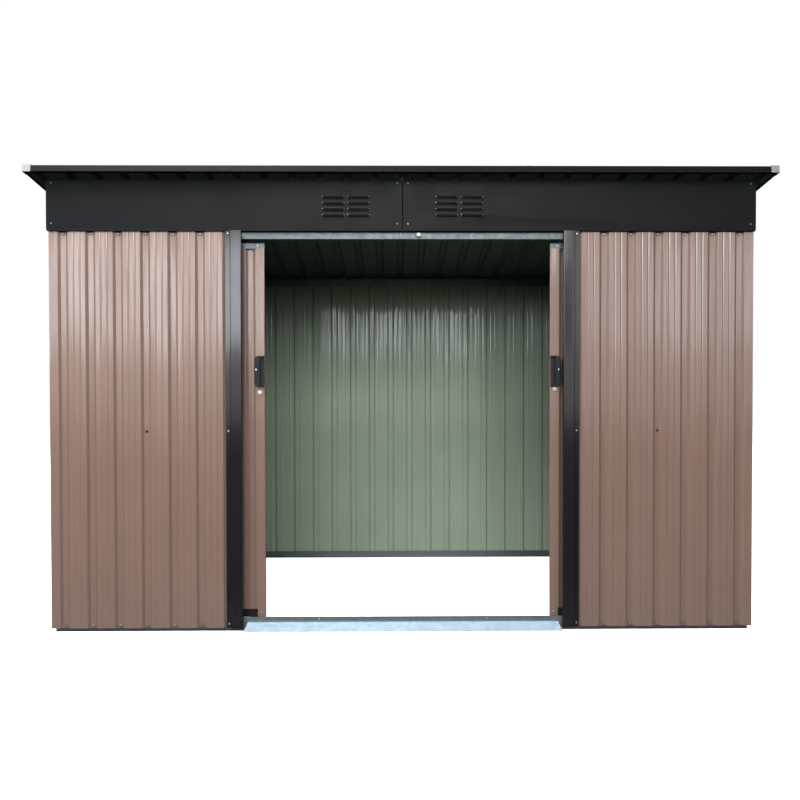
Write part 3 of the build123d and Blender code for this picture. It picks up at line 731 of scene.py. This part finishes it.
PLUG_X, PLUG_Z, PLUG_SHARE = 0.060, 1.4955, 0.89
LEAF_SCREWS = ((0.026, 1.461), (0.015, 0.062))
HANDLE_SCREW, HANDLE_SCREW_HEIGHT = (0.030, 0.990), 1.2
PLATE_SCREW_IN, PLATE_SCREW_ROWS, PLATE_FRONT = 0.009, (1.029, 0.952), 0.003
plug = bmesh.new()
button(plug, (PLUG_X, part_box("upper_track")[0].y, PLUG_Z), -Y_AXIS, PLUG_SHARE)
finish_mesh("track_plug", plug, "shed", [white_nylon])
button_rows = {"left": (0.0186, 0.904), "right": (0.0170, 0.9155)}
for side, (button_in, button_z) in button_rows.items():
    leaf_low, leaf_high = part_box(f"{side}_door_stiles")
    handle_low, handle_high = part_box(f"{side}_door_handle")
    edge, inward = (leaf_high.x, -1) if side == "left" else (leaf_low.x, 1)
    fittings = bmesh.new()
    button(fittings, (edge + inward * button_in, leaf_low.y, button_z), -Y_AXIS, 1.0, 2)
    for distance, z in LEAF_SCREWS:
        pan_screw(fittings, (edge + inward * distance, leaf_low.y, z), -Y_AXIS, washer=False)
    place = (edge + inward * HANDLE_SCREW[0], handle_low.y, HANDLE_SCREW[1])
    pan_screw(fittings, place, -Y_AXIS, washer=False, height=HANDLE_SCREW_HEIGHT)
    # The screws in the handle's recess get black rubber heads: painted shade for the recess
    for z in PLATE_SCREW_ROWS:
        place = (edge + inward * PLATE_SCREW_IN, handle_high.y - PLATE_FRONT, z)
        pan_screw(fittings, place, -Y_AXIS, washer=False, head_material=1)
    piece = finish_mesh(f"{side}_door_fittings", fittings, f"door_{side}", [zinc_plate, neoprene, white_nylon])
    print(side, "leaf edge at", round(edge, 3), "fittings", len(piece.data.polygons), "faces")

# %% [markdown]
# The camera repeats the photograph: a little under a metre above the ground and about two and a half metres
# from the front wall. Its place was fitted to corners of the walls, roof and doorway.

# %% Camera
CAMERA_PLACE = (-0.0353, -3.1667, 0.9088)
CAMERA_YAW, CAMERA_PITCH, CAMERA_ROLL = -0.538, -0.751, -0.084
FOCAL_PIXELS, IMAGE_PIXELS, SENSOR_MM = 686.3, 800, 36.0
lens = bpy.data.cameras.new("camera")
lens.sensor_width = SENSOR_MM
lens.lens = FOCAL_PIXELS / IMAGE_PIXELS * SENSOR_MM
camera = bpy.data.objects.new("camera", lens)
bpy.context.scene.collection.objects.link(camera)
turns = (
    Matrix.Rotation(math.radians(CAMERA_YAW), 4, "Z")
    @ Matrix.Rotation(math.radians(90 + CAMERA_PITCH), 4, "X")
    @ Matrix.Rotation(math.radians(CAMERA_ROLL), 4, "Z")
)
camera.matrix_world = Matrix.Translation(CAMERA_PLACE) @ turns
bpy.context.scene.camera = camera
print("lens", round(lens.lens, 2), "mm")

# %% [markdown]
# Gloss paint shows what it reflects, so the light is built as the walls would see it: a row of tall soft boxes
# behind the camera, a wide dimmer panel above them and another below. The tall boxes stand a few degrees above the
# horizon, so only the upper walls and posts mirror them, and the gaps between them make the streaks. Panels at the
# sides and back light the far walls. They are kept out of reflections, which at a low angle would be plain glare.

# %% Soft boxes
def panel(name, place, size, aim, radiance, colour="#FFFFFF", mirrored=True):
    """Soft area light of a size in metres, aimed at a point; radiance times pi times area is its power.

    A light that isn't mirrored brightens a surface without showing in its gloss.
    """
    light = bpy.data.lights.new(name, "AREA")
    light.shape = "RECTANGLE"
    light.size, light.size_y = size
    light.energy = radiance * math.pi * size[0] * size[1]
    light.color = linear(colour)[:3]
    lamp = bpy.data.objects.new(name, light)
    lamp.location = place
    lamp.rotation_euler = (Vector(aim) - Vector(place)).to_track_quat("-Z", "Y").to_euler()
    lamp.visible_camera = False
    lamp.visible_glossy = mirrored
    bpy.context.scene.collection.objects.link(lamp)
    return lamp


PANEL_FROM_WALL = 17.4
BOX_LOW, BOX_HIGH, BAND_HIGH = 2.15, 5.2, 12.0
BOX_WIDTH, BOX_PITCH, BOX_COUNT, FIRST_BOX = 1.3, 2.15, 13, -13.2
# The right door post mirrors the ninth and tenth boxes, and it stands darker than the left one
DIM_BOXES = {8: 0.12, 9: 0.6}
BAND_WIDTH = 26.0
LEFT_RADIANCE, RADIANCE_FALL, BAND_RADIANCE = 15.0, 9.0, 1.6
panel_y = wall_low.y - PANEL_FROM_WALL
for k in range(BOX_COUNT):
    x = FIRST_BOX + BOX_PITCH * k
    radiance = (LEFT_RADIANCE - RADIANCE_FALL * k / (BOX_COUNT - 1)) * DIM_BOXES.get(k, 1.0)
    middle = (BOX_LOW + BOX_HIGH) / 2
    size = (BOX_WIDTH, BOX_HIGH - BOX_LOW)
    panel(f"tall_soft_box_{k}", (x, panel_y, middle), size, (x, 0, middle), radiance, "#F6F9FF")
for name, low, high in (("high_band", BOX_HIGH, BAND_HIGH), ("low_band", 0.0, BOX_LOW)):
    middle = (low + high) / 2
    panel(name, (0, panel_y, middle), (BAND_WIDTH, high - low), (0, 0, middle), BAND_RADIANCE, "#FFF8F0")
panel("high_left_panel", (-1.6, -2.2, 3.6), (2.4, 1.4), (-0.4, -0.58, 0.8), 18)
panel("doorway_panel", (0.4, -6.0, 3.3), (3.0, 2.0), (0.0, 0.6, 0.6), 9.5)
for side in (-1, 1):
    panel(f"side_panel_{side}", (side * 8.0, 0.5, 2.6), (6, 4), (0, 0.1, 0.9), 6.5, mirrored=False)
panel("back_panel", (0, 8.0, 2.8), (8, 4), (0, 0, 0.9), 6.0, mirrored=False)
panel("overhead_panel", (0, 0.5, 6.0), (6, 6), (0, 0.5, 0), 1.8)
print("soft boxes:", BOX_COUNT, "and 8 panels")

# %% [markdown]
# A soft world fills the shadows: dim below the horizon, pale just above it and dim again higher up, so that the
# louvre hoods, which look upwards, stay dark. The camera itself sees white, like a cleared background.

# %% World and floor
world = bpy.data.worlds.new("pale_studio")
bpy.context.scene.world = world
world.use_nodes = True
world_tree = world.node_tree
aim = add_node(world_tree, "ShaderNodeTexCoord")
rise = add_node(world_tree, "ShaderNodeSeparateXYZ", [("Vector", aim.outputs["Generated"])])
sky_share = add_node(
    world_tree, "ShaderNodeMapRange", [("Value", rise.outputs["Z"]), ("From Min", -0.05), ("From Max", 0.12)]
)
high_share = add_node(
    world_tree, "ShaderNodeMapRange", [("Value", rise.outputs["Z"]), ("From Min", 0.35), ("From Max", 0.6)]
)
room = mix_colours(world_tree, sky_share.outputs["Result"], "#282A28", "#B4BAC0")
room = mix_colours(world_tree, high_share.outputs["Result"], room, "#6E7276")
sees = add_node(world_tree, "ShaderNodeLightPath")
backdrop = add_node(world_tree, "ShaderNodeBackground", [("Color", linear("#FFFFFF")), ("Strength", 1.0)])
fill = add_node(world_tree, "ShaderNodeBackground", [("Color", room), ("Strength", 0.9)])
shown = add_node(
    world_tree, "ShaderNodeMixShader",
    [(0, sees.outputs["Is Camera Ray"]), (1, fill.outputs["Background"]), (2, backdrop.outputs["Background"])],
)
world_tree.links.new(shown.outputs["Shader"], world_tree.nodes["World Output"].inputs["Surface"])

FLOOR_HALF, FLOOR_GLOW, FLOOR_PATCH_MM = 14.0, 0.94, 400
floor_mesh = bpy.data.meshes.new("floor")
corners = [(x * FLOOR_HALF, y * FLOOR_HALF, 0) for x, y in ((-1, -1), (1, -1), (1, 1), (-1, 1))]
floor_mesh.from_pydata(corners, [], [(0, 1, 2, 3)])
floor_paint, floor_tree, floor_shader = new_material("pale_studio_floor", Roughness=0.9)
floor_tree.links.new(
    mix_colours(floor_tree, noise_band(floor_tree, FLOOR_PATCH_MM, 0.0, 1.0), "#F6F6F6", "#F9F9F9"),
    floor_shader.inputs["Base Color"],
)
floor_shader.inputs["Emission Color"].default_value = linear("#FFFFFF")
floor_shader.inputs["Emission Strength"].default_value = FLOOR_GLOW
floor_mesh.materials.append(floor_paint)
floor = bpy.data.objects.new("floor", floor_mesh)
bpy.context.scene.collection.objects.link(floor)
floor.visible_diffuse = False
floor.visible_glossy = False
bpy.context.scene.view_settings.view_transform = "Standard"
print("lit and staged")
